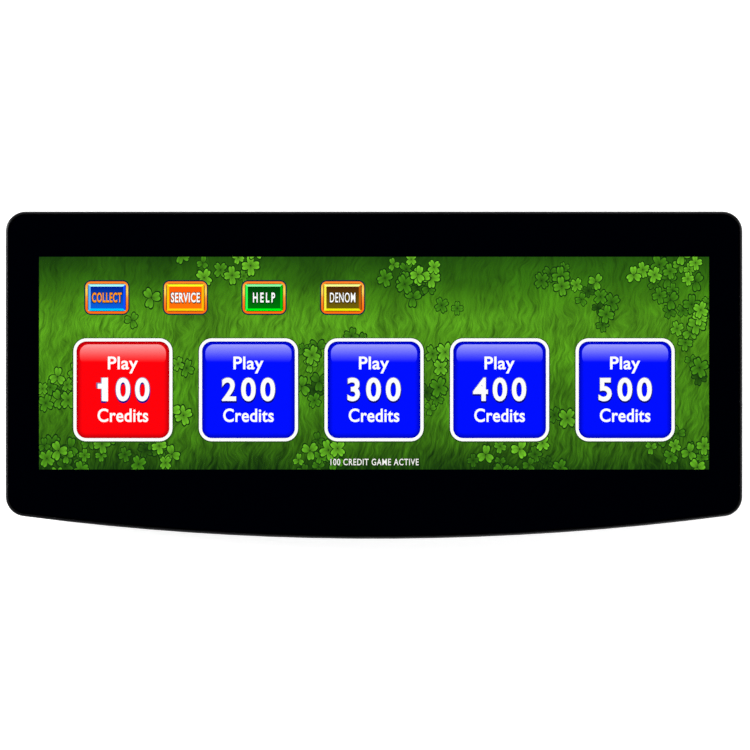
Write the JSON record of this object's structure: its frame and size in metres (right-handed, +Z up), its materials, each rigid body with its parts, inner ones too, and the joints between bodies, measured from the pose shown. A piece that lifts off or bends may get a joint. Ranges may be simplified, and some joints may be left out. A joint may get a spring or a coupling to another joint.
{
  "type": "touch-screen player deck",
  "caption": "Wide black touch-screen button deck of a video poker machine, bowed at the front, hinged on a flanged mounting tray.",
  "frame": {"origin": "middle of the footprint, on the underside of the tray", "axes": "+X right along the deck as the player sees it, +Y to the rear where it is hinged, +Z up out of the glass"},
  "size_m": [0.378, 0.168, 0.05],
  "materials": {
    "cover_glass": "polished",
    "black_print": "black ink under glass",
    "foam": "closed-cell foam",
    "sensor_glass": "polished",
    "flex": "amber film",
    "bezel_plastic": "satin black",
    "lcd_steel": "bright zinc",
    "lit_picture": "lit screen",
    "white_sheet": "matte white",
    "clear_acrylic": "polished",
    "led_white": "matte",
    "board_green": "solder mask",
    "components": "matte",
    "heat_sink_alloy": "black anodised",
    "ribbon": "satin",
    "socket_black": "matte",
    "socket_steel": "bright",
    "brass": "turned",
    "screw_steel": "bright zinc",
    "cover_steel": "galvanised",
    "hinge_steel": "bright zinc",
    "chrome": "polished",
    "black_nylon": "moulded",
    "rubber": "matte",
    "key_grey": "moulded",
    "tray_paint": "black powder coat"
  },
  "bodies": {
    "tray": {"tray_pan": "tray_paint", "exit_trim": "black_nylon", "edge_seal": "foam", "rest_bumpers": "rubber", "hinge_bracket_left": "hinge_steel", "hinge_bracket_right": "hinge_steel", "hinge_bracket_screws": "screw_steel", "latch_bushing_left": "chrome", "latch_bushing_right": "chrome"},
    "deck": {"backlight_board": "board_green", "bezel_frame": "bezel_plastic", "board_screws": "screw_steel", "board_standoffs": "brass", "border_print": "black_print", "cover_glass": "cover_glass", "diffuser_film": "white_sheet", "display_ribbon": "ribbon", "glass_gasket": "foam", "heat_sink": "heat_sink_alloy", "hinge_leaf_left": "hinge_steel", "hinge_leaf_right": "hinge_steel", "hinge_leaf_screws": "screw_steel", "hinge_pins": "hinge_steel", "keeper_screws": "screw_steel", "key_board": "board_green", "key_switches": "components", "latch_keeper_left": "cover_steel", "latch_keeper_right": "cover_steel", "lcd_back_plate": "lcd_steel", "lcd_cell": "lit_picture", "lcd_front_frame": "lcd_steel", "lcd_mould_frame": "white_sheet", "lcd_strap_left": "lcd_steel", "lcd_strap_right": "lcd_steel", "lcd_strap_screws": "screw_steel", "led_strip": "led_white", "light_guide": "clear_acrylic", "main_board": "board_green", "main_board_parts": "components", "power_socket": "socket_black", "rear_cover": "cover_steel", "rear_cover_screws": "screw_steel", "reflector_sheet": "white_sheet", "side_board_parts": "components", "tcon_board": "board_green", "tcon_parts": "components", "touch_board": "board_green", "touch_sensor": "sensor_glass", "touch_tail": "flex", "usb_socket": "socket_steel", "video_socket": "socket_steel"},
    "latch_left": {"latch_knob_left": "black_nylon", "latch_cam_left": "hinge_steel"},
    "latch_right": {"latch_knob_right": "black_nylon", "latch_cam_right": "hinge_steel"},
    "key_1": {"service_key_1": "key_grey"},
    "key_2": {"service_key_2": "key_grey"},
    "key_3": {"service_key_3": "key_grey"},
    "key_4": {"service_key_4": "key_grey"},
    "key_5": {"service_key_5": "key_grey"}
  },
  "joints": [
    {"name": "deck_hinge", "type": "hinge", "parent": "tray", "child": "deck", "pos_m": [0, 0.0777, 0.0375], "axis": [-1, 0, 0], "range_deg": [0, 60]},
    {"name": "latch_left_turn", "type": "hinge", "parent": "tray", "child": "latch_left", "pos_m": [-0.09, -0.06, 0.008], "axis": [0, 1, 0], "range_deg": [0, 90]},
    {"name": "latch_right_turn", "type": "hinge", "parent": "tray", "child": "latch_right", "pos_m": [0.09, -0.06, 0.008], "axis": [0, -1, 0], "range_deg": [0, 90]},
    {"name": "service_key_1_press", "type": "slide", "parent": "deck", "child": "key_1", "axis": [0, 0, 1], "range_m": [0, 0.001], "stiffness_N_per_m": 300, "springref_m": -0.001},
    {"name": "service_key_2_press", "type": "slide", "parent": "deck", "child": "key_2", "axis": [0, 0, 1], "range_m": [0, 0.001], "stiffness_N_per_m": 300, "springref_m": -0.001},
    {"name": "service_key_3_press", "type": "slide", "parent": "deck", "child": "key_3", "axis": [0, 0, 1], "range_m": [0, 0.001], "stiffness_N_per_m": 300, "springref_m": -0.001},
    {"name": "service_key_4_press", "type": "slide", "parent": "deck", "child": "key_4", "axis": [0, 0, 1], "range_m": [0, 0.001], "stiffness_N_per_m": 300, "springref_m": -0.001},
    {"name": "service_key_5_press", "type": "slide", "parent": "deck", "child": "key_5", "axis": [0, 0, 1], "range_m": [0, 0.001], "stiffness_N_per_m": 300, "springref_m": -0.001}
  ]
}
